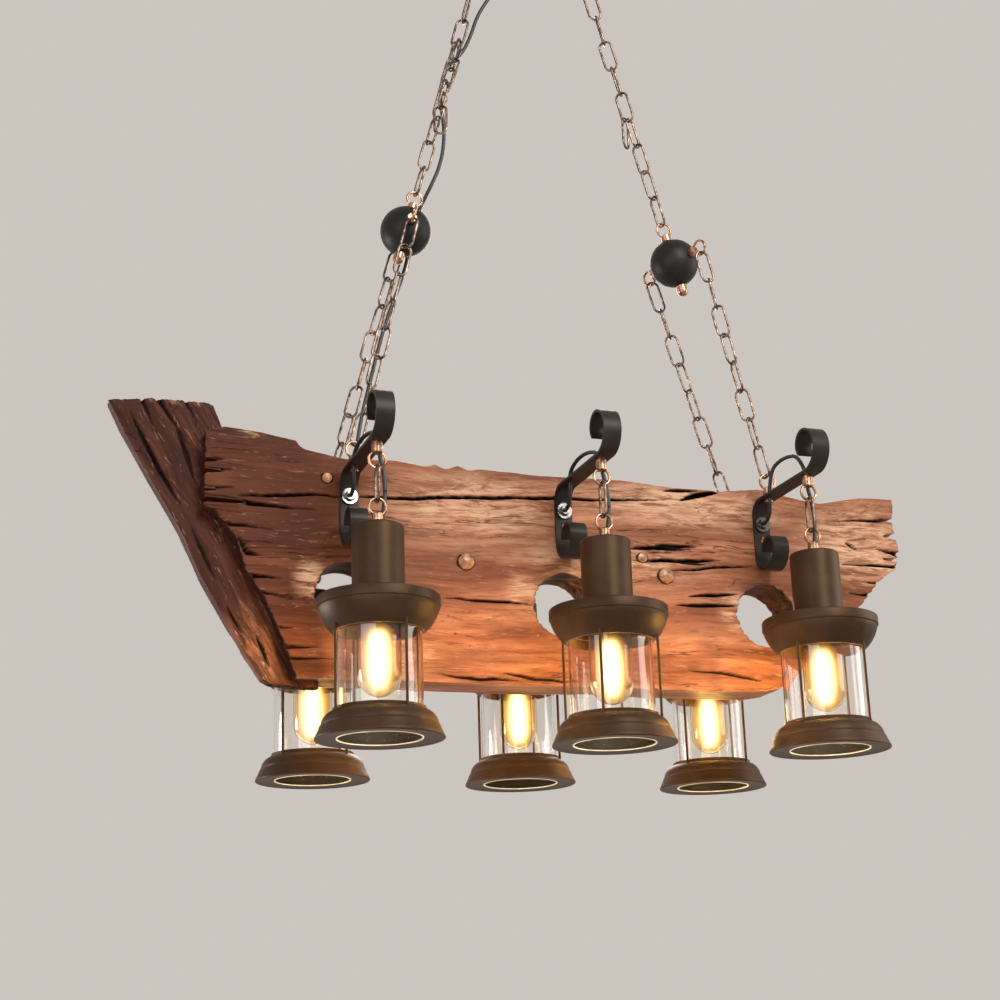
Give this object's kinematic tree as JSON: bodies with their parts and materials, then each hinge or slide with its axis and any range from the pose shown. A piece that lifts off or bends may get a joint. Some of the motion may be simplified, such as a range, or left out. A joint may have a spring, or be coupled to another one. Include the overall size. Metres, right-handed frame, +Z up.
{
  "type": "lantern island pendant light",
  "caption": "Island pendant light: glass lanterns hang from scrolled strap brackets on a weathered board, which hangs by chains and metal balls from a round ceiling canopy.",
  "frame": {"origin": "centre of the mounting bar's and canopy's back, on the ceiling", "axes": "+Z up into the ceiling, +X along the board away from the stem, -Y towards the side that the picture shows"},
  "size_m": [0.946, 0.422, 1.0859],
  "materials": {
    "iron": "matte",
    "brass": "satin",
    "black": "matte",
    "chrome": "polished",
    "wood": "matte",
    "glass": "gloss",
    "bulb": "gloss",
    "cord": "matte",
    "steel": "satin"
  },
  "bodies": {
    "ceiling_set": {"canopy": "iron", "mounting_bar": "steel", "ceiling_hooks": "brass", "cord_grip": "black"},
    "pendant": {"board": "wood", "stem": "wood", "pegs": "wood", "brackets": "iron", "bracket_screws": "iron", "glands": "chrome", "arm_loops": "brass", "leads": "cord", "supply_cord": "cord", "chains": "brass", "balls": "black", "chain_eyes": "brass"},
    "near_left_hanger": {"near_left_link": "brass"},
    "near_left_lantern": {"near_left_cap": "iron", "near_left_glass": "glass", "near_left_base": "iron", "near_left_guard_rods": "iron", "near_left_lampholder": "brass", "near_left_bulb": "bulb"},
    "near_middle_hanger": {"near_middle_link": "brass"},
    "near_middle_lantern": {"near_middle_cap": "iron", "near_middle_glass": "glass", "near_middle_base": "iron", "near_middle_guard_rods": "iron", "near_middle_lampholder": "brass", "near_middle_bulb": "bulb"},
    "near_right_hanger": {"near_right_link": "brass"},
    "near_right_lantern": {"near_right_cap": "iron", "near_right_glass": "glass", "near_right_base": "iron", "near_right_guard_rods": "iron", "near_right_lampholder": "brass", "near_right_bulb": "bulb"},
    "far_left_hanger": {"far_left_link": "brass"},
    "far_left_lantern": {"far_left_cap": "iron", "far_left_glass": "glass", "far_left_base": "iron", "far_left_guard_rods": "iron", "far_left_lampholder": "brass", "far_left_bulb": "bulb"},
    "far_middle_hanger": {"far_middle_link": "brass"},
    "far_middle_lantern": {"far_middle_cap": "iron", "far_middle_glass": "glass", "far_middle_base": "iron", "far_middle_guard_rods": "iron", "far_middle_lampholder": "brass", "far_middle_bulb": "bulb"},
    "far_right_hanger": {"far_right_link": "brass"},
    "far_right_lantern": {"far_right_cap": "iron", "far_right_glass": "glass", "far_right_base": "iron", "far_right_guard_rods": "iron", "far_right_lampholder": "brass", "far_right_bulb": "bulb"}
  },
  "joints": [
    {"name": "suspension_sway", "type": "hinge", "parent": "ceiling_set", "child": "pendant", "pos_m": [0, 0, -0.0617], "axis": [1, 0, 0], "range_deg": [-10, 10]},
    {"name": "near_left_link_swing", "type": "hinge", "parent": "pendant", "child": "near_left_hanger", "pos_m": [-0.25, -0.146, -0.80495], "axis": [1, 0, 0], "range_deg": [-12, 12], "deforming": ["leads"]},
    {"name": "near_left_lantern_swing", "type": "hinge", "parent": "near_left_hanger", "child": "near_left_lantern", "pos_m": [-0.25, -0.146, -0.84115], "axis": [0, 1, 0], "range_deg": [-10, 10], "deforming": ["leads"]},
    {"name": "near_middle_link_swing", "type": "hinge", "parent": "pendant", "child": "near_middle_hanger", "pos_m": [0, -0.146, -0.80495], "axis": [1, 0, 0], "range_deg": [-12, 12], "deforming": ["leads"]},
    {"name": "near_middle_lantern_swing", "type": "hinge", "parent": "near_middle_hanger", "child": "near_middle_lantern", "pos_m": [0, -0.146, -0.84115], "axis": [0, 1, 0], "range_deg": [-10, 10], "deforming": ["leads"]},
    {"name": "near_right_link_swing", "type": "hinge", "parent": "pendant", "child": "near_right_hanger", "pos_m": [0.25, -0.146, -0.80495], "axis": [1, 0, 0], "range_deg": [-12, 12], "deforming": ["leads"]},
    {"name": "near_right_lantern_swing", "type": "hinge", "parent": "near_right_hanger", "child": "near_right_lantern", "pos_m": [0.25, -0.146, -0.84115], "axis": [0, 1, 0], "range_deg": [-10, 10], "deforming": ["leads"]},
    {"name": "far_left_link_swing", "type": "hinge", "parent": "pendant", "child": "far_left_hanger", "pos_m": [-0.25, 0.146, -0.80495], "axis": [1, 0, 0], "range_deg": [-12, 12], "deforming": ["leads"]},
    {"name": "far_left_lantern_swing", "type": "hinge", "parent": "far_left_hanger", "child": "far_left_lantern", "pos_m": [-0.25, 0.146, -0.84115], "axis": [0, 1, 0], "range_deg": [-10, 10], "deforming": ["leads"]},
    {"name": "far_middle_link_swing", "type": "hinge", "parent": "pendant", "child": "far_middle_hanger", "pos_m": [0, 0.146, -0.80495], "axis": [1, 0, 0], "range_deg": [-12, 12], "deforming": ["leads"]},
    {"name": "far_middle_lantern_swing", "type": "hinge", "parent": "far_middle_hanger", "child": "far_middle_lantern", "pos_m": [0, 0.146, -0.84115], "axis": [0, 1, 0], "range_deg": [-10, 10], "deforming": ["leads"]},
    {"name": "far_right_link_swing", "type": "hinge", "parent": "pendant", "child": "far_right_hanger", "pos_m": [0.25, 0.146, -0.80495], "axis": [1, 0, 0], "range_deg": [-12, 12], "deforming": ["leads"]},
    {"name": "far_right_lantern_swing", "type": "hinge", "parent": "far_right_hanger", "child": "far_right_lantern", "pos_m": [0.25, 0.146, -0.84115], "axis": [0, 1, 0], "range_deg": [-10, 10], "deforming": ["leads"]}
  ]
}
